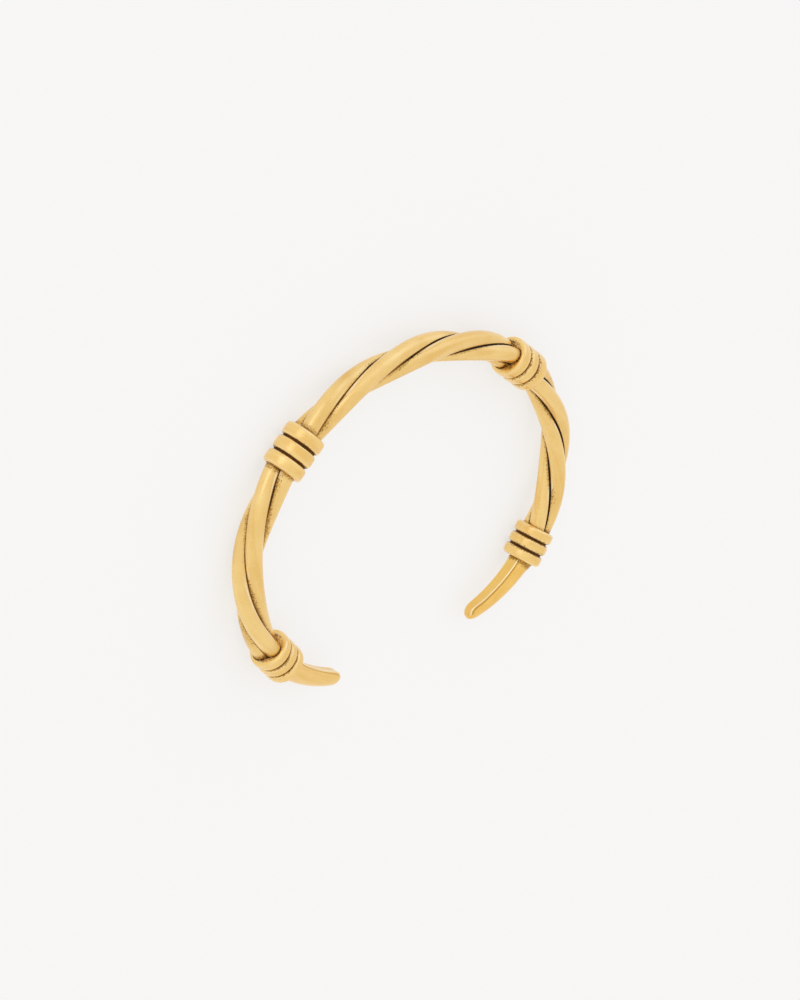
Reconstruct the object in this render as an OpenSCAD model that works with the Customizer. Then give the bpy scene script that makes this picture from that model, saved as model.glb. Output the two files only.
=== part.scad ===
// Twisted cuff bracelet. Three brass strands in one left-handed twist follow an oval
// loop that is open at the front. Four bindings, each of three joined rings, hold the
// twist, and past each front binding the cuff runs out in a plain tapered end that is
// flat toward the wrist. It lies on its side on its bindings: +Z runs along the wrist,
// +Y points to the back of the cuff, and the open front faces -Y. The origin is under
// the middle of the outline.

/* [Cuff] */
// Half the width of the loop, from the middle of the wrist to the middle of the twist
half_width = 33.2; // [32:0.1:35]
// Half the depth of the loop, measured the same way toward the back
half_depth = 28.6; // [28:0.1:31]
// Length along the cuff from the middle of the back to the tip of an end
end_reach = 82.1; // [79:0.1:85]

/* [Strands] */
// Diameter of the twist over its strands
twist_d = 5.2; // [5:0.05:5.3]
// Diameter of the round outer side of one strand
strand_d = 2.8; // [2.6:0.05:3]
// Length along the cuff in which a strand goes once round the twist
lay = 48.9; // [40:0.1:60]

/* [Bindings] */
// Outer diameter of the rings
ring_d = 6.8; // [6.8:0.05:7.4]
// Length along the cuff from the middle of the back to the middle of a back binding
back_binding_at = 26.1; // [20:0.1:30]
// Length along the cuff from the middle of the back to the middle of a front binding
front_binding_at = 65.4; // [63:0.1:68]
// Distance from ring to ring in a back binding
back_ring_pitch = 2.5; // [2.2:0.05:2.6]
// Distance from ring to ring in a front binding
front_ring_pitch = 2.1; // [1.8:0.05:2.4]
// Depth of the grooves between the rings
groove_depth = 0.3; // [0.2:0.05:0.3]
// How far the bindings sit in toward the wrist from the middle of the twist
binding_inset = 0.22; // [0.15:0.01:0.22]

/* [Ends] */
// Height of an end along the wrist, where it leaves its binding
end_root_h = 4.2; // [3.6:0.1:4.8]
// Height of an end along the wrist, where its round tip begins
end_tip_h = 2.7; // [2:0.1:3.2]
// Reach of an end outward from the middle of the twist, where it leaves its binding
end_root_out = 2.1; // [1.8:0.05:2.4]
// Reach of an end outward from the middle of the twist, where its round tip begins
end_tip_out = 1.3; // [1:0.05:1.7]
// Distance of the flat side, toward the wrist, from the middle of the twist
end_flat_in = 1.7; // [1.4:0.05:2]

/* [Hidden] */

strand_brass = [0.86, 0.68, 0.36];
ring_brass = [0.88, 0.71, 0.4];
end_brass = [0.9, 0.73, 0.41];
$fn = 96;

// Clear gap between neighbouring strands, and between the twist and its bindings
strand_gap = 0.1;
bore_gap = 0.08;

// The loop is an ellipse, and every place on it is given by its length along the
// loop from the middle of the back, positive toward +X. These rows turn that
// length into the angle that the ellipse's formula takes.
angle_step = 0.5;
function on_loop(angle) = [half_width * sin(angle), half_depth * cos(angle)];
length_rows = [for (angle = 0, length = 0;
                    angle <= 180;
                    length = length + norm(on_loop(angle + angle_step) - on_loop(angle)),
                    angle = angle + angle_step)
               [length, angle]];
function angle_at(along) = sign(along) * lookup(abs(along), length_rows);

// Middle of the twist and the direction away from the wrist, at a length along it
function middle_at(along) = on_loop(angle_at(along));
function outward_at(along) =
    let (angle = angle_at(along), n = [half_depth * sin(angle), half_width * cos(angle)])
    n / norm(n);

// A point beside the loop: so far outward, and so far up the wrist
function beside(along, out, up) =
    let (p = middle_at(along) + out * outward_at(along))
    [p.x, p.y, up];

// Closed solid through equal sections, each a ring of points that runs anticlockwise
// as seen from the last section. The quads of a section's second half are split
// along their other diagonal, so that the facing sides of neighbours match.
module loft(sections) {
    count = len(sections[0]);
    last = len(sections) - 1;
    sides = [for (i = [0 : last - 1], j = [0 : count - 1])
             let (k = (j + 1) % count,
                  a = i * count + j,
                  b = i * count + k,
                  c = a + count,
                  d = b + count)
             each (j < count / 2 ? [[a, c, b], [b, c, d]] : [[a, d, b], [a, c, d]])];
    first_cap = [[for (j = [0 : count - 1]) j]];
    last_cap = [[for (j = [count - 1 : -1 : 0]) last * count + j]];
    polyhedron([for (s = sections) each s], concat(sides, first_cap, last_cap), convexity = 10);
}

// Section of one strand in the twist: a round outer side, and two flat sides that
// face its neighbours and meet at the middle of the twist.
strand_r = strand_d / 2;
strand_off = twist_d / 2 - strand_r;
side_angle = 60;
round_points = 13;
round_limit = side_angle + asin((strand_off * sin(side_angle) - strand_gap / 2) / strand_r);
function strand_section() =
    concat([[strand_gap / 2 / sin(side_angle), 0]],
           [for (i = [0 : round_points - 1])
            let (q = round_limit * (2 * i / (round_points - 1) - 1))
            [strand_off + strand_r * cos(q), strand_r * sin(q)]]);

// The strands end inside the front bindings, where the ends' stubs begin.
strand_reach = front_binding_at - strand_gap / 2;
strand_steps = 88;
function strand_points(start, along) =
    let (turned = start - 360 * along / lay, c = cos(turned), s = sin(turned))
    [for (p = strand_section()) beside(along, p.x * c - p.y * s, p.x * s + p.y * c)];

// A binding is straight, so the curved twist bows inside it by this much.
bar_gap = 0.2;
function half_length(pitch) = 1.5 * pitch - bar_gap / 2;
function bow(pitch) = pow(half_length(pitch), 2) / (half_width + half_depth);

// Half the outline of one ring: a flat band with round shoulders, on the binding's
// axis. The points are radius and place along the axis.
shoulder_h = 0.4;
shoulder_w = 0.7;
shoulder_steps = 6;
function ring_outline(width) =
    let (r = ring_d / 2 - shoulder_h, e = width / 2 - shoulder_w)
    concat([[0, -width / 2]],
           [for (side = [-1, 1], i = [0 : shoulder_steps])
            let (q = 90 * (side < 0 ? 1 - i / shoulder_steps : i / shoulder_steps))
            [r + shoulder_h * cos(q), side * (e + shoulder_w * sin(q))]],
           [[0, width / 2]]);

// Stations along an end: the stub in the binding, the neck, the taper and the tip
stub_r = twist_d / 2;
neck = 2;
tip_length = 1.6;
stub_from = front_binding_at + strand_gap / 2;
blade_from = front_binding_at + half_length(front_ring_pitch);
taper_to = end_reach - tip_length;
taper_steps = 9;
tip_steps = 5;
tip_limit = 82;
end_points_round = 20;
end_stations = concat(
    [stub_from, blade_from - 1, blade_from - 0.1],
    [for (i = [1 : 3]) blade_from + neck * i / 3],
    [for (i = [1 : taper_steps]) blade_from + neck + (taper_to - blade_from - neck) * i / taper_steps],
    [for (i = [1 : tip_steps]) taper_to + tip_length * sin(tip_limit * i / tip_steps)]);

// How far the section has gone from the stub's circle to the blade's shape, how far
// the blade has tapered, and how much of it is left where the tip rounds off
function smooth(t) = let (u = max(0, min(1, t))) u * u * (3 - 2 * u);
function bladed(along) = smooth((along - blade_from + 0.2) / neck);
function tapered(along) = max(0, min(1, (along - blade_from) / (taper_to - blade_from)));
function left_at(along) = sqrt(1 - pow(max(0, along - taper_to) / tip_length, 2));
function mix(a, b, t) = a + (b - a) * t;

// Section of an end. The outer half is an ellipse, and the inner half is squared
// off into the flat side. The tip rounds off about a middle near the flat side.
flat_power = 0.4;
tip_middle = -0.3;
function end_points(along) =
    let (b = bladed(along),
         t = tapered(along),
         left = left_at(along),
         out = mix(stub_r, mix(end_root_out, end_tip_out, t), b),
         in = mix(stub_r, end_flat_in, b),
         high = mix(stub_r, mix(end_root_h, end_tip_h, t) / 2, b),
         power = mix(1, flat_power, b))
    [for (i = [0 : end_points_round - 1])
     let (q = 360 * i / end_points_round,
          c = cos(q),
          x = c > 0 ? out * c : -in * pow(abs(c), power))
     beside(along, tip_middle + (x - tip_middle) * left, high * sin(q) * left)];

// The outline from the lowest point of an end to the back of the twist is centred
// on the origin, and the rings rest on the ground.
back_y = half_depth + twist_d / 2;
front_y = min([for (along = end_stations, p = end_points(along)) p.y]);
module placed() {
    translate([0, -(back_y + front_y) / 2, ring_d / 2]) children();
}

// One of the three strands, started so many degrees round the twist
module strand(start) {
    sections = [for (i = [-strand_steps / 2 : strand_steps / 2])
                strand_points(start, 2 * i * strand_reach / strand_steps)];
    color(strand_brass) placed() loft(sections);
}
module strand_1() { strand(0); }
module strand_2() { strand(120); }
module strand_3() { strand(240); }

// Three rings on a sleeve, bored for the twist. The bore is centred on the bowed
// twist, outward of the rings' own axis.
module binding(along, pitch) {
    out = outward_at(along);
    at = middle_at(along) - binding_inset * out;
    length = 2 * half_length(pitch);
    shift = binding_inset - bow(pitch) / 2;
    color(ring_brass) placed()
        translate([at.x, at.y, 0])
        rotate([0, 0, atan2(-out.x, out.y)])
        rotate([0, 90, 0])
        difference() {
            union() {
                cylinder(h = length - bar_gap, d = ring_d - 2 * groove_depth, center = true);
                for (i = [-1 : 1])
                    translate([0, 0, i * pitch])
                    rotate_extrude() polygon(ring_outline(pitch - bar_gap));
            }
            translate([0, shift, 0])
                cylinder(h = length + 2, r = twist_d / 2 + bow(pitch) / 2 + bore_gap, center = true);
        }
}
module binding_back_left() { binding(-back_binding_at, back_ring_pitch); }
module binding_back_right() { binding(back_binding_at, back_ring_pitch); }
module binding_front_left() { binding(-front_binding_at, front_ring_pitch); }
module binding_front_right() { binding(front_binding_at, front_ring_pitch); }

// A plain end, with the stub that sits in its front binding
module end_right() {
    color(end_brass) placed() loft([for (along = end_stations) end_points(along)]);
}
module end_left() { mirror([1, 0, 0]) end_right(); }

strand_1();
strand_2();
strand_3();
binding_back_left();
binding_back_right();
binding_front_left();
binding_front_right();
end_left();
end_right();
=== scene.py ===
import math

import bpy
from mathutils import Matrix, Vector


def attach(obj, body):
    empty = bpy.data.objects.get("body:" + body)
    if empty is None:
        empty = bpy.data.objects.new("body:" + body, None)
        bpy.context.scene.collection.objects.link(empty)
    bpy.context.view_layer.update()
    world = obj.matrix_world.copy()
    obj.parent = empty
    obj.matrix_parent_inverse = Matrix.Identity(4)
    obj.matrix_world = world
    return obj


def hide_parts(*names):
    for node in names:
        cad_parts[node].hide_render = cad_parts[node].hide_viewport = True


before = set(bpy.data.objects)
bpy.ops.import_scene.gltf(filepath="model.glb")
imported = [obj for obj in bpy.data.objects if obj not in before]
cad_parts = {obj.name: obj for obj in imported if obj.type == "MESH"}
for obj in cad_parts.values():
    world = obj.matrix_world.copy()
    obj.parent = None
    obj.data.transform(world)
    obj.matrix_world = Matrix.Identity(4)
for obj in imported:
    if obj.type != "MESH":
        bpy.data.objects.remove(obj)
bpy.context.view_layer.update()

mm = 0.001


# The camera looks down on the cuff from above its back left side, at the photograph's angle.
# Its long lens and its slight roll match the photograph's framing.
yaw, lift, roll = math.radians(42.17), math.radians(28.73), math.radians(0.79)
looked_at = Vector((-1.874, 0.975, 3.4)) * mm
camera_distance = 423.3 * mm
toward = Vector((-math.sin(yaw) * math.cos(lift), math.sin(lift), math.cos(yaw) * math.cos(lift)))
level = Vector((math.cos(yaw), 0, math.sin(yaw)))
rise = toward.cross(level)
across_frame = level * math.cos(roll) + rise * math.sin(roll)
up_frame = rise * math.cos(roll) - level * math.sin(roll)
lens = bpy.data.cameras.new("camera")
lens.lens = 95.2
lens.clip_start, lens.clip_end = 0.01, 20
camera = bpy.data.objects.new("camera", lens)
camera.matrix_world = Matrix.Translation(looked_at + toward * camera_distance) @ Matrix(
    (across_frame, up_frame, toward)).transposed().to_4x4()
bpy.context.scene.collection.objects.link(camera)
bpy.context.scene.camera = camera


# The twist is three round brass bars, wound left-handed round each other, bent into the loop
# and held by the bindings. Each is swept straight, then bent along a guide that follows the
# middle of the twist. Lengths along the loop are measured from the middle of the back.
half_width, half_depth = 33.2 * mm, 28.6 * mm
loop_middle = Vector((0, -2.452, 3.4)) * mm
twist_r, bar_r = 2.6 * mm, 1.4 * mm
bar_off = twist_r - bar_r
lay = 48.9 * mm
strand_reach = 65.3 * mm
strand_steps = 320
strand_mark = 30 * mm
back_binding_at, back_binding_half = 26.1 * mm, 3.6 * mm
front_mouth_at = 62.4 * mm

# a bar fills a third of the twist: two flat sides from an inner edge, and a round outer side
# that runs to a valley on either side of its crown
third = math.tau / 3
flat_turn = third / 2
inner_edge = 0.06 * mm
valley_at = bar_r * (flat_turn + math.asin(bar_off * math.sin(flat_turn) / bar_r))
corner_round, corner_reach = 0.07 * mm, 0.02 * mm
same_place = 0.001 * mm

bpy.ops.object.select_all(action="DESELECT")
bpy.ops.curve.primitive_bezier_circle_add(radius=1)
guide = bpy.context.object
guide.scale = (half_width, half_depth, 1)
bpy.ops.object.transform_apply(location=False, rotation=False, scale=True)
guide.data.use_radius = False
guide.data.resolution_u = 128
half_loop = guide.data.splines[0].calc_length() / 2


def only(piece):
    bpy.ops.object.select_all(action="DESELECT")
    piece.select_set(True)
    bpy.context.view_layer.objects.active = piece


def settle(piece):
    """Put the piece's place, turn and size into its mesh."""
    only(piece)
    bpy.ops.object.transform_apply(location=True, rotation=True, scale=True)


def finish_with(piece, kind, **settings):
    only(piece)
    modifier = piece.modifiers.new(kind.lower(), kind)
    for name, value in settings.items():
        setattr(modifier, name, value)
    bpy.ops.object.modifier_apply(modifier=modifier.name)


def copy_of(piece, name):
    twin = piece.copy()
    twin.data = piece.data.copy()
    twin.name = twin.data.name = name
    bpy.context.scene.collection.objects.link(twin)
    return twin


def keep_bar(piece, place):
    """Note where each point of the straight piece lies on its bar, for the material: how far
    along, how far across, and one more measure that each kind of piece has for itself."""
    bar = piece.data.attributes.new("bar", "FLOAT_VECTOR", "POINT")
    for point, value in zip(piece.data.vertices, bar.data):
        value.vector = place(*point.co)


def bend(piece):
    """Bend a straight piece, which runs along X from the middle of the back, round the loop."""
    piece.location = (half_loop, 0, 0)
    settle(piece)
    finish_with(piece, "CURVE", object=guide, deform_axis="POS_X")
    piece.location = loop_middle
    settle(piece)
    bpy.ops.object.shade_smooth()


def fill_ends(piece):
    only(piece)
    bpy.ops.object.mode_set(mode="EDIT")
    bpy.ops.mesh.select_all(action="SELECT")
    bpy.ops.mesh.remove_doubles(threshold=same_place)
    bpy.ops.mesh.select_all(action="DESELECT")
    bpy.ops.mesh.select_mode(type="EDGE")
    bpy.ops.mesh.select_non_manifold()
    bpy.ops.mesh.fill_holes(sides=0)
    bpy.ops.mesh.select_all(action="SELECT")
    bpy.ops.mesh.normals_make_consistent(inside=False)
    bpy.ops.object.mode_set(mode="OBJECT")


# the bar's outline: X points away from the wrist and Y up the wrist
bpy.ops.mesh.primitive_circle_add(vertices=72, radius=bar_r, fill_type="NGON",
                                  location=(bar_off, 0, 0))
strand = bpy.context.object
strand.name = strand.data.name = "strand"
settle(strand)
bpy.ops.object.mode_set(mode="EDIT")
for flank in (-1, 1):
    bpy.ops.mesh.select_all(action="SELECT")
    turn = flank * (flat_turn + math.pi / 2)
    bpy.ops.mesh.bisect(plane_co=(inner_edge, 0, 0), plane_no=(math.cos(turn), math.sin(turn), 0),
                        clear_outer=True)
bpy.ops.mesh.select_mode(type="VERT")
bpy.ops.mesh.select_all(action="DESELECT")
bpy.ops.object.mode_set(mode="OBJECT")
for point in strand.data.vertices:
    from_crown = abs(math.atan2(point.co.y, point.co.x - bar_off)) * bar_r
    point.select = abs(from_crown - valley_at) < corner_reach
bpy.ops.object.mode_set(mode="EDIT")
bpy.ops.mesh.bevel(offset=corner_round, segments=3, affect="VERTICES")
bpy.ops.mesh.select_all(action="SELECT")
bpy.ops.mesh.delete(type="ONLY_FACE")
bpy.ops.object.mode_set(mode="OBJECT")

# the outline is stood across X at the left end, and swept to the right with the lay's turn
reach_turn = math.tau * strand_reach / lay
strand.rotation_euler = (math.pi / 2, 0, math.pi / 2)
settle(strand)
strand.rotation_euler = (reach_turn, 0, 0)
strand.location = (-strand_reach, 0, 0)
settle(strand)
finish_with(strand, "SCREW", axis="X", angle=-2 * reach_turn, screw_offset=2 * strand_reach,
            steps=strand_steps, render_steps=strand_steps, use_smooth_shade=True)
fill_ends(strand)


def lie_of_strand(number):
    """Where a point of this strand lies on its bar. The third measure is the strand's own mark,
    which tells its material where it starts round the twist, so that its painted highlight and
    patina follow its own crown."""
    def place(x, y, z):
        turn = math.tau * x / lay
        out = y * math.cos(turn) - z * math.sin(turn)
        up = y * math.sin(turn) + z * math.cos(turn)
        return x, bar_r * math.atan2(up, out - bar_off), number * strand_mark
    return place


class Socket:
    """A value in a material's nodes. Arithmetic on it adds Math nodes."""

    def __init__(self, tree, out=None):
        self.tree, self.out = tree, out

    def node(self, kind, settings=None, inputs=None, output=0):
        node = self.tree.nodes.new("ShaderNode" + kind)
        for name, value in (settings or {}).items():
            setattr(node, name, value)
        for name, value in (inputs or {}).items():
            if isinstance(value, Socket):
                self.tree.links.new(value.out, node.inputs[name])
            else:
                node.inputs[name].default_value = value
        return Socket(self.tree, node.outputs[output] if node.outputs else None)

    def math(self, operation, *values):
        return self.node("Math", {"operation": operation}, dict(enumerate(values)))

    def __add__(self, other):
        return self.math("ADD", self, other)

    def __sub__(self, other):
        return self.math("SUBTRACT", self, other)

    def __rsub__(self, other):
        return self.math("SUBTRACT", other, self)

    def __mul__(self, other):
        return self.math("MULTIPLY", self, other)

    def __abs__(self):
        return self.math("ABSOLUTE", self)

    __radd__, __rmul__ = __add__, __mul__

    def sine(self):
        return self.math("SINE", self)

    def cosine(self):
        return self.math("COSINE", self)

    def most(self, other):
        return self.math("MAXIMUM", self, other)

    def least(self, other):
        return self.math("MINIMUM", self, other)

    def vector(self, operation, *others, output=0):
        return self.node("VectorMath", {"operation": operation},
                         dict(enumerate((self,) + others)), output)

    def part(self, axis):
        return self.node("SeparateXYZ", {}, {0: self}, axis)

    def fade(self, start, end):
        """Nothing at the start value, all at the end value, smoothly between them."""
        return self.node("MapRange", {"interpolation_type": "SMOOTHSTEP"},
                         {"Value": self, "From Min": start, "From Max": end})

    def mix(self, colour, other):
        """One colour where this is nothing, the other where it is all."""
        return self.node("Mix", {"data_type": "RGBA"}, {0: self, 6: colour, 7: other}, output=2)


def noise(at, size, detail=2.0, stretch=(1, 1, 1)):
    """Even noise from -0.5 to 0.5, with features of about this size in metres."""
    scaled = at.vector("MULTIPLY", tuple(k / size for k in stretch))
    return at.node("TexNoise", {}, {"Vector": scaled, "Scale": 1.0, "Detail": detail}) - 0.5


def new_brass(name):
    material = bpy.data.materials.new(name)
    material.use_nodes = True
    material.node_tree.nodes.clear()
    return material, Socket(material.node_tree)


def finish_brass(tree, gold, rough, grain, streak, line, dark, sand, browning, rub_and_highlight):
    """Satin brass under clear lacquer, with its grain in metres and streaks along the bar.

    Its dark line, thin or dark, is patina and also painted shade in the crevice it lies in.
    Then come specks of sand, and a thin brown tint, which is patina in some places and painted
    shade in others. Where it has a painted pale highlight, as from rubbing, it is paler and
    smoother.
    """
    warm = tuple(k * f for k, f in zip(gold, (0.9, 0.8, 0.62)))
    pale_rub_highlight, brown_tint = (1.0, 0.88, 0.6, 1), (0.5, 0.245, 0.035, 1)
    brown_speck = (0.26, 0.12, 0.016, 1)
    thin_line, dark_line = (0.24, 0.11, 0.028, 1), (0.05, 0.022, 0.007, 1)

    at = tree.node("TexCoord", output="Object")
    cloud = noise(at, 3.5 * mm)
    speckle = noise(at, 0.2 * mm, detail=3)
    grit = noise(at, 0.21 * mm, detail=1)
    specks = (sand * 0.65 + grit * 2.7 - 0.45).fade(0.0, 0.36) * sand.fade(0.05, 0.5)

    brightness = 0.5 + cloud * 0.8 + streak * 1.3 + speckle * 0.8
    colour = brightness.fade(0.1, 0.9).mix(warm + (1,), gold + (1,))
    # the brown tint: patina in places, and painted shade on the ends' facets and beside their
    # ridges
    colour = (browning + browning * speckle * 1.2).fade(0.0, 1.0).mix(colour, brown_tint)
    # the painted pale highlight on edges, shoulders and ridges
    colour = rub_and_highlight.mix(colour, pale_rub_highlight)
    colour = (specks * 0.75).mix(colour, brown_speck)
    # the dark line: patina, and painted shade in crevices, grooves and mouths
    line_colour = dark.mix(thin_line, dark_line)
    colour = (line + speckle * line * 0.9).fade(0.25, 0.75).mix(colour, line_colour)

    metal = 1 - line.fade(0.3, 0.8) * 0.3 - specks * 0.1
    roughness = (rough + cloud * 0.1 + streak * 0.12 + specks * 0.2 + line * 0.25
                 - rub_and_highlight * 0.1)
    lacquer = 0.8 - line.most(browning * 0.7).most(specks) * 0.8
    height = speckle * (sand * 0.035 * mm + grain) + streak * grain * 0.6 + cloud * 0.03 * mm
    bump = tree.node("Bump", {}, {"Height": height, "Strength": 1.0, "Distance": 1.0})
    shader = tree.node("BsdfPrincipled", {}, {
        "Base Color": colour, "Roughness": roughness, "Metallic": metal, "Normal": bump,
        "Specular Tint": (1.0, 0.95, 0.85, 1), "Coat Weight": lacquer, "Coat Roughness": 0.12})
    tree.node("OutputMaterial", {}, {"Surface": shader})


strand_brass, tree = new_brass("strand_brass")
at = tree.node("TexCoord", output="Object")
bar = tree.node("Attribute", {"attribute_name": "bar"}, output="Vector")
along, across = bar.part("X"), bar.part("Y")
to_right = at.part("X").fade(-30 * mm, 20 * mm)

# a strand faces the camera where its crown, turned this far from straight outward, faces the
# camera's side: there it gets the painted highlight and less sand and brown tint
camera_side = Vector((-0.59, 0.48, 0.65))
turn = bar.part("Z") * (third / strand_mark) - third - along * (math.tau / lay)
crown_out, crown_up = turn.cosine(), turn.sine()
outward = at.vector("SUBTRACT", loop_middle)
outward = outward.vector("MULTIPLY", (half_width ** -2, half_depth ** -2, 0)).vector("NORMALIZE")
outward_toward_camera = outward.vector("DOT_PRODUCT", (camera_side.x, camera_side.y, 0), output="Value")
faces_camera = (crown_out * outward_toward_camera + crown_up * camera_side.z).fade(0.3, 0.65)
kept = (1 - faces_camera * (0.7 - to_right * 0.35)) * (1 - crown_out.fade(0.0, 1.0) * 0.6)

# a dark line, which is patina and painted shade of the crevice, sand and a brown tint fill the
# valleys, and a painted pale highlight lies along the crown's near edge
streak = noise(bar, 1.4 * mm, stretch=(0.04, 1, 1))
patch = noise(bar, 6 * mm, stretch=(1, 0.6, 1))
rub = noise(bar, 0.5 * mm, stretch=(0.3, 1, 1))
from_valley = valley_at - abs(across)
dark = (noise(bar, 9 * mm, stretch=(1, 0.3, 1)) + to_right * 0.26).fade(0.0, 0.2)
line = 1 - (from_valley + rub * 0.1 * mm - dark * 0.13 * mm).fade(0.04 * mm, 0.17 * mm)
sand = (1 - (from_valley - patch * 1.8 * mm).fade(0.1 * mm, 1.0 * mm)) * kept
browning = (1 - (from_valley - patch * 1.1 * mm).fade(0.05 * mm, 0.8 * mm)) * kept * 0.7
haze = noise(bar, 12 * mm, stretch=(1, 0.4, 1)).fade(0.03, 0.2) * 0.35
# painted pale highlight beside each valley, only where the crown faces the camera
rub_and_highlight = (1 - abs(from_valley - 0.4 * mm).fade(0.05 * mm, 0.3 * mm)) * (patch * 0.5 + 0.85) * faces_camera
from_crease = abs(from_valley - 0.7 * mm - patch * 1.4 * mm)
crease = (1 - from_crease.fade(0.0, 0.12 * mm)) * patch.fade(0.02, 0.12) * (1 - faces_camera)

# sand and a brown tint lie in a short band before each binding, and a thin dark line, patina and
# painted shade, at its mouth
from_binding = abs(abs(along) - back_binding_at) - back_binding_half
from_binding = from_binding.least(front_mouth_at - abs(along))
by_binding = 1 - (from_binding + patch * 0.5 * mm).fade(0.0, 1.1 * mm)
mouth = 1 - (from_binding + rub * 0.1 * mm).fade(0.0, 0.16 * mm)
finish_brass(tree, gold=(0.97, 0.7, 0.27), rough=0.28, grain=0.008 * mm, streak=streak,
             line=line.most(mouth * 0.5), dark=dark,
             sand=(sand * (1 - rub_and_highlight)).most(by_binding * 0.8).most(crease),
             browning=browning.most(by_binding * 0.6).most(haze), rub_and_highlight=rub_and_highlight)

for number in (1, 2, 3):
    name = f"strand_{number}"
    piece = copy_of(strand, "bar_" + name)
    keep_bar(piece, lie_of_strand(number))
    piece.rotation_euler = ((number - 1) * third, 0, 0)
    settle(piece)
    bend(piece)
    piece.data.materials.clear()
    piece.data.materials.append(strand_brass)
    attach(piece, "root")
    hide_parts(name)
bpy.data.objects.remove(strand)


# A binding is three flat round brass rings side by side, cast as one on a sleeve that closes on
# the twist. Narrow deep grooves part the rings, and a plug a little inside each mouth fills the
# hollows round the strands.
front_binding_at = 65.4 * mm
ring_r, band_r = 3.4 * mm, 2.45 * mm
sleeve_r, plug_r = 2.85 * mm, 2.6 * mm
shoulder_high, shoulder_wide = 0.6 * mm, 0.62 * mm
groove = 0.22 * mm
plug_shorter = 0.5 * mm
binding_inset = 0.22 * mm
round_steps = 128


def loop_place(length):
    """The middle of the twist and its heading, at a length along the loop from the back."""
    turn, gone, step = 0.0, 0.0, 0.0005
    while gone < abs(length):
        gone += step * math.hypot(half_width * math.cos(turn), half_depth * math.sin(turn))
        turn += step
    turn = math.copysign(turn, length)
    heading = Vector((half_width * math.cos(turn), -half_depth * math.sin(turn), 0)).normalized()
    middle = Vector((half_width * math.sin(turn), half_depth * math.cos(turn), 0)) + loop_middle
    return middle, heading


def make_ring(middle, width):
    """Spin one ring round X: a flat band with round shoulders."""
    squash = shoulder_high / shoulder_wide
    tall = (ring_r - band_r) / squash
    bpy.ops.object.select_all(action="DESELECT")
    bpy.ops.mesh.primitive_plane_add(size=1, location=(middle, ring_r - tall / 2, 0))
    ring = bpy.context.object
    ring.scale = (width, tall, 1)
    settle(ring)
    bpy.ops.object.mode_set(mode="EDIT")
    bpy.ops.mesh.select_mode(type="VERT")
    bpy.ops.mesh.select_all(action="DESELECT")
    bpy.ops.object.mode_set(mode="OBJECT")
    for point in ring.data.vertices:
        point.select = point.co.y > ring_r - 0.1 * mm
    bpy.ops.object.mode_set(mode="EDIT")
    bpy.ops.mesh.bevel(offset=shoulder_wide, segments=9, affect="VERTICES")
    bpy.ops.mesh.select_all(action="SELECT")
    bpy.ops.mesh.delete(type="ONLY_FACE")
    bpy.ops.mesh.select_all(action="SELECT")
    bpy.ops.transform.resize(value=(1, squash, 1), center_override=(0, ring_r, 0))
    bpy.ops.mesh.subdivide(number_cuts=1)
    bpy.ops.mesh.spin(steps=round_steps, angle=math.tau, center=(0, 0, 0), axis=(1, 0, 0))
    bpy.ops.mesh.select_all(action="SELECT")
    bpy.ops.mesh.remove_doubles(threshold=same_place)
    bpy.ops.mesh.normals_make_consistent(inside=False)
    bpy.ops.object.mode_set(mode="OBJECT")
    return ring


def make_core(radius, length):
    """A round core along X, for the sleeve between the rings and for the plug."""
    bpy.ops.object.select_all(action="DESELECT")
    bpy.ops.mesh.primitive_cylinder_add(vertices=round_steps, radius=radius, depth=length,
                                        rotation=(0, math.pi / 2, 0))
    core = bpy.context.object
    settle(core)
    return core


def make_binding(pitch):
    """Join three rings, their sleeve and its plug. The bar's third measure is the radius."""
    length = 3 * pitch - groove
    rings = [make_ring(k * pitch, pitch - groove) for k in (-1, 0, 1)]
    sleeve, plug = make_core(sleeve_r, length - pitch), make_core(plug_r, length - plug_shorter)
    for part in (*rings, sleeve, plug):
        part.select_set(True)
    bpy.ops.object.join()
    keep_bar(plug, lambda x, y, z: (x, ring_r * math.atan2(z, y), math.hypot(y, z)))
    return plug


def keep_gap(binding, length):
    """Note how far each point of a straight binding is from the strands, which bow inside it."""
    gap = binding.data.attributes.new("gap", "FLOAT", "POINT")
    for point, value in zip(binding.data.vertices, gap.data):
        x, y, z = point.co
        turn = math.tau * (length + x) / lay
        bowed = y - binding_inset + x * x / (half_width + half_depth)
        value.value = min(math.hypot(bowed - bar_off * math.cos(crown - turn),
                                     z - bar_off * math.sin(crown - turn))
                          for crown in (0, third, -third)) - bar_r
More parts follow.
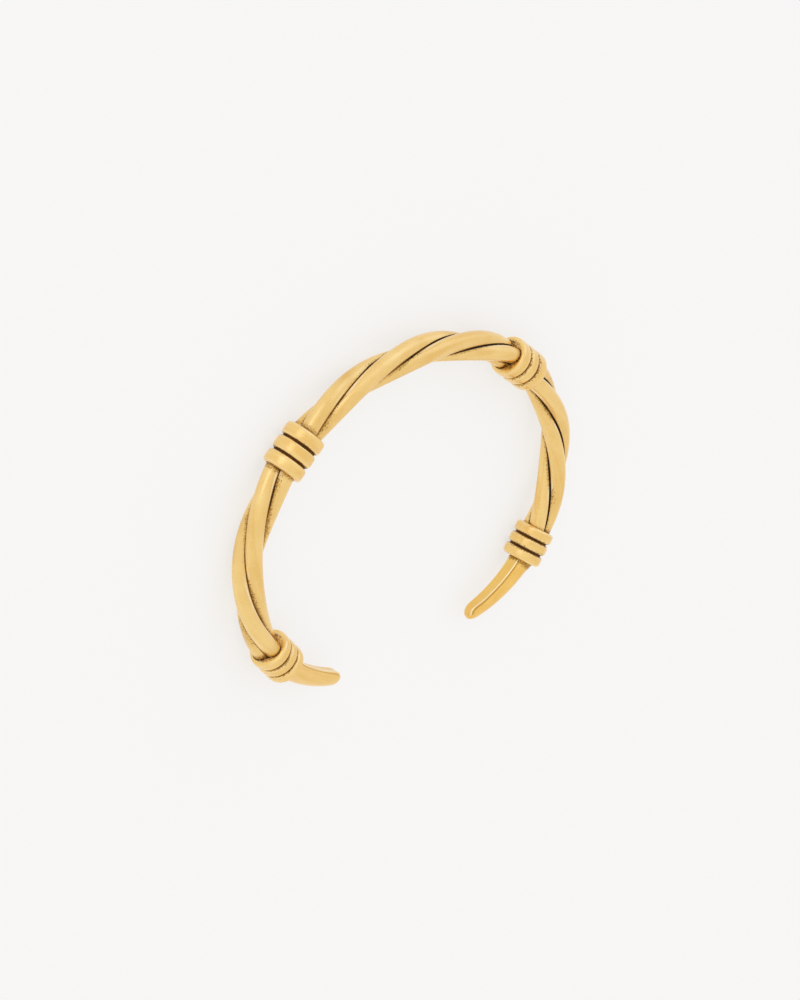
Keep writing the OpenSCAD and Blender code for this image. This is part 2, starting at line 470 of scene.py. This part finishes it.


# the front bindings get less brown tint inside their mouths than the back ones, and a painted
# pale light there over the shade of the recess
for place, length, pitch, pocket_lightening in (("back", back_binding_at, 2.5 * mm, 0.1),
                                    ("front", front_binding_at, 2.1 * mm, 0.35)):
    ring_brass, tree = new_brass("binding_brass_" + place)
    bar = tree.node("Attribute", {"attribute_name": "bar"}, output="Vector")
    gap = tree.node("Attribute", {"attribute_name": "gap"}, output="Fac")
    along, radius = bar.part("X"), bar.part("Z")
    to_right = tree.node("TexCoord", output="Object").part("X").fade(-10 * mm, 10 * mm)
    streak = noise(bar, 0.9 * mm, stretch=(1, 0.1, 0))
    patch = noise(bar, 3.5 * mm, stretch=(1, 1, 0))
    rub = noise(bar, 0.4 * mm, stretch=(0.3, 1, 0))
    from_groove = abs(abs(along) - pitch / 2)
    # a dark line in each groove and a seam where the sleeve meets the strands: patina and painted
    # shade of the crevices
    line = 1 - (from_groove + rub * 0.05 * mm).fade(0.08 * mm, 0.17 * mm)
    seam = 1 - (gap + rub * 0.12 * mm).fade(0.08 * mm, 0.22 * mm)
    sand = 1 - (from_groove - patch * 0.9 * mm - to_right * 0.15 * mm).fade(0.1 * mm, 0.5 * mm)
    browning = 1 - (from_groove - patch * 0.2 * mm).fade(0.12 * mm, 0.36 * mm)
    pocket = 1 - (radius + patch * 0.3 * mm).fade(2.55 * mm, 2.95 * mm)
    # a painted pale highlight along each ring's shoulder, as from rubbing
    from_edge = from_groove.least(1.5 * pitch - abs(along))
    from_shoulder = abs(from_edge - 0.38 * mm) + abs(radius - 3.3 * mm)
    rub_and_highlight = (1 - from_shoulder.fade(0.05 * mm, 0.2 * mm)) * (patch + 0.6)
    finish_brass(tree, gold=(0.985, 0.705, 0.262), rough=0.32, grain=0.014 * mm, streak=streak,
                 line=line.most(seam * 0.9), dark=0.75 + patch,
                 sand=sand.most(pocket * 0.8),
                 browning=(browning * 0.6).most(pocket * (0.6 - pocket_lightening)),
                 rub_and_highlight=(rub_and_highlight * 0.55).most(pocket * pocket_lightening))

    straight = make_binding(pitch)
    for side, sign in (("left", -1), ("right", 1)):
        name = f"binding_{place}_{side}"
        piece = copy_of(straight, "rings_" + name)
        keep_gap(piece, sign * length)
        middle, heading = loop_place(sign * length)
        outward = Vector((-heading.y, heading.x, 0))
        piece.rotation_euler = (0, 0, math.atan2(heading.y, heading.x))
        piece.location = middle - outward * binding_inset
        settle(piece)
        bpy.ops.object.shade_smooth_by_angle(angle=math.radians(40))
        piece.data.materials.clear()
        piece.data.materials.append(ring_brass)
        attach(piece, "root")
        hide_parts(name)
    bpy.data.objects.remove(straight)


# Past each front binding the cuff runs out in a plain tapered end, forged from the same brass
# and held in the binding by its root. Its side toward the wrist is a shallow hollow facet
# between two ridges, and its tip is round.
end_from, blade_from = 66.6 * mm, 68.45 * mm
neck, neck_out, neck_high = 1.8 * mm, 0.55 * mm, 0.2 * mm
root_out, tip_out, flat_in = 2.1 * mm, 1.2 * mm, 1.7 * mm
root_high, tip_high = 4.2 * mm, 2.7 * mm
tip_length, tip_middle = 2.3 * mm, -0.35 * mm
hollow = 0.16 * mm
end_r = 1.8 * mm


def end_section(length, reach):
    """Reach outward and half height of the end, at a length along, and how far it has tapered."""
    taper = min(1, max(0, (length - blade_from) / (reach - tip_length - blade_from)))
    flare = max(0, 1 - max(0, length - blade_from + 0.3 * mm) / neck) ** 2
    out = root_out + (tip_out - root_out) * taper ** 1.2 + neck_out * flare
    high = (root_high + (tip_high - root_high) * taper) / 2 + neck_high * flare
    return out, high, taper


def ridge_at(taper):
    """Place of the ridges, as a part of the half height."""
    return 0.47 + 0.13 * taper


def make_end(name, reach, curl):
    """Forge one end straight, its tip curled in toward the wrist."""
    bpy.ops.object.select_all(action="DESELECT")
    bpy.ops.mesh.primitive_circle_add(vertices=16, radius=1, fill_type="NGON", location=(0, 0, 0),
                                      rotation=(math.pi / 2, 0, math.pi / 2))
    end = bpy.context.object
    end.name = end.data.name = name
    settle(end)

    # the circle's points go to the round outer side, the flanks, the ridges and the hollow
    out, high = end_section(end_from, reach)[:2]
    for point in end.data.vertices:
        y, z = point.co.y, point.co.z
        if y > -0.1:
            y, z = y * out, z * high
        elif y > -0.5:
            y, z = -0.55 * flat_in, math.copysign(0.82, z) * high
        elif y > -0.8:
            y, z = -flat_in, math.copysign(ridge_at(0), z) * high
        else:
            y, z = -flat_in + hollow * (1 - abs(z)), z * ridge_at(0) * high * 1.1
        point.co = (end_from, y, z)

    # the blade is drawn out from station to station, tapering and curling in
    taper_from, taper_to = blade_from + 2.4 * mm, reach - tip_length
    stations = [end_from, blade_from, blade_from + 0.6 * mm, blade_from + 1.4 * mm] + [
        taper_from + (taper_to - taper_from) * i / 6 for i in range(7)]
    bpy.ops.object.mode_set(mode="EDIT")
    bpy.ops.mesh.select_all(action="SELECT")
    for before, after in zip(stations, stations[1:]):
        out0, high0, taper0 = end_section(before, reach)
        out1, high1, taper1 = end_section(after, reach)
        inward = -curl * (taper1 ** 2 - taper0 ** 2)
        bpy.ops.mesh.extrude_region_move(
            TRANSFORM_OT_translate={"value": (after - before, inward, 0)})
        bpy.ops.transform.resize(value=(1, (out1 + flat_in) / (out0 + flat_in), high1 / high0),
                                 center_override=(after, -flat_in - curl * taper1 ** 2, 0))

    # the tip rounds off in a few shrinking steps
    parts = (0, 0.35, 0.62, 0.83, 0.95)
    for before, after in zip(parts, parts[1:]):
        shrink = math.sqrt((1 - after ** 2) / (1 - before ** 2))
        step = tip_length * (after - before)
        inward = -curl * 2 * step / (taper_to - blade_from)
        bpy.ops.mesh.extrude_region_move(TRANSFORM_OT_translate={"value": (step, inward, 0)})
        bpy.ops.transform.resize(value=(1, shrink, shrink),
                                 center_override=(0, tip_middle - curl, 0))
    bpy.ops.mesh.select_all(action="SELECT")
    bpy.ops.mesh.normals_make_consistent(inside=False)
    bpy.ops.mesh.select_mode(type="EDGE")
    bpy.ops.mesh.select_all(action="DESELECT")
    bpy.ops.object.mode_set(mode="OBJECT")

    # the ridges spread a little toward the tip, and stay firm when the blade is smoothed
    for point in end.data.vertices:
        taper = end_section(point.co.x, reach)[2]
        if point.co.y + curl * taper ** 2 < -0.85 * flat_in:
            point.co.z *= ridge_at(taper) / ridge_at(0)
    for edge in end.data.edges:
        one, other = (end.data.vertices[k].co for k in edge.vertices)
        drop = curl * end_section(one.x, reach)[2] ** 2
        runs_along = abs(one.x - other.x) > 0.1 * mm
        on_facet = one.y + drop < -flat_in + 0.1 * mm
        on_ridge = min(abs(one.z), abs(other.z)) > 0.6 * mm
        before_tip = max(one.x, other.x) < reach - 0.6 * tip_length
        edge.select = runs_along and on_facet and on_ridge and before_tip
    bpy.ops.object.mode_set(mode="EDIT")
    bpy.ops.transform.edge_crease(value=0.55)
    bpy.ops.object.mode_set(mode="OBJECT")
    finish_with(end, "SUBSURF", levels=3, render_levels=3)
    return end


def lie_of_end(reach, curl):
    """Where a point lies on the end's bar. The third measure says how far inside the ridges it
    is: one in the middle of the facet, nothing on a ridge, less on the outer side."""
    def place(x, y, z):
        high, taper = end_section(x, reach)[1:]
        on_facet = y + curl * taper ** 2 < -0.5 * flat_in
        inside = 1 - abs(z) / (ridge_at(taper) * high) if on_facet else -1
        return x, end_r * math.atan2(z, y), inside
    return place


# the right end is longer and curls in more than the left one, and its deeper gold is painted warm
# shade
for side, sign, reach, curl, gold, shaded in (
        ("left", -1, 81.8 * mm, 0.35 * mm, (0.985, 0.69, 0.25), 0.5),
        ("right", 1, 82.9 * mm, 1.0 * mm, (1.0, 0.667, 0.18), 0.8)):
    end_brass, tree = new_brass("end_brass_" + side)
    bar = tree.node("Attribute", {"attribute_name": "bar"}, output="Vector")
    along, inside = bar.part("X"), bar.part("Z")
    streak = noise(bar, 0.8 * mm, stretch=(0.08, 1, 0))
    patch = noise(bar, 2.5 * mm, stretch=(1, 1, 0))
    from_ring = abs(along) - blade_from
    # a dark line where the end leaves its binding: patina and painted shade of the crevice
    line = 1 - from_ring.fade(-0.02 * mm, 0.1 * mm)
    band = 1 - (from_ring + patch * 0.9 * mm).fade(0.5 * mm, 1.5 * mm)
    # the facet gets a painted shade, and a painted shade band lies beside each ridge
    facet = inside.fade(-0.03, 0.1)
    wave = inside + noise(bar, 3.5 * mm, stretch=(1, 0, 0)) * 0.2
    shade = wave.fade(-0.4, -0.17) * (1 - wave.fade(-0.16, -0.08))
    # a painted pale highlight along each ridge, as from rubbing
    ridge = wave.fade(-0.14, -0.03) * (1 - wave.fade(0.02, 0.24)) * (patch + 0.85)
    finish_brass(tree, gold=gold, rough=0.17, grain=0.002 * mm, streak=streak * 0.7,
                 line=line * 0.8, dark=patch + 0.4, sand=band,
                 browning=(band * 0.6).most(facet * 0.24).most(shade * shaded), rub_and_highlight=ridge * 0.8)

    piece = make_end("blade_end_" + side, reach, curl)
    keep_bar(piece, lie_of_end(reach, curl))
    piece.scale = (sign, 1, 1)
    settle(piece)
    if sign < 0:
        bpy.ops.object.mode_set(mode="EDIT")
        bpy.ops.mesh.select_all(action="SELECT")
        bpy.ops.mesh.normals_make_consistent(inside=False)
        bpy.ops.object.mode_set(mode="OBJECT")
    bend(piece)
    piece.data.materials.clear()
    piece.data.materials.append(end_brass)
    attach(piece, "root")
    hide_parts("end_" + side)
bpy.data.objects.remove(guide)


# The floor is a plain warm white sheet of paper, wide enough to fill the view. It glows a
# little, so that it stays even and pale round the cuff.
bpy.ops.object.select_all(action="DESELECT")
bpy.ops.mesh.primitive_plane_add(size=6, location=(0, 0, 0))
floor = bpy.context.object
floor.name = "floor"
paper = bpy.data.materials.new("paper")
paper.use_nodes = True
sheet = paper.node_tree.nodes["Principled BSDF"]
sheet.inputs["Base Color"].default_value = (0.3, 0.295, 0.29, 1)
sheet.inputs["Roughness"].default_value = 1.0
sheet.inputs["Specular IOR Level"].default_value = 0.0
sheet.inputs["Emission Color"].default_value = (1.0, 1.0, 1.0, 1)
sheet.inputs["Emission Strength"].default_value = 0.658
floor.data.materials.append(paper)


# The light is a pale studio: an even sky, a little brighter above the cuff's back left side,
# and a low window behind the cuff on either side.
sky_white, window_white = (1, 0.972, 0.93, 1), (0.95, 1.0, 1.2, 1)
world = bpy.data.worlds.new("studio")
world.use_nodes = True
world.node_tree.nodes.clear()
bpy.context.scene.world = world
sky = Socket(world.node_tree)
way = sky.node("TexCoord", output="Generated")


def toward_light(light):
    return way.vector("DOT_PRODUCT", Vector(light).normalized(), output="Value")


above_floor = way.part("Z").fade(-0.04, 0.12)
left_window = toward_light((-0.55, 0.82, 0.15)).fade(0.84, 1.0) * above_floor
right_window = toward_light((0.62, 0.75, 0.2)).fade(0.7, 1.0) * above_floor
bright_side = toward_light((-0.62, 0.58, 0.5)).fade(0.5, 1.0)
pale = left_window.most(right_window).mix(sky_white, window_white)
strength = 0.895 + left_window * 0.38 + right_window * 0.19 + bright_side * 0.05
background = sky.node("Background", {}, {"Color": pale, "Strength": strength})
sky.node("OutputWorld", {}, {"Surface": background})
bpy.context.scene.view_settings.view_transform = "Standard"
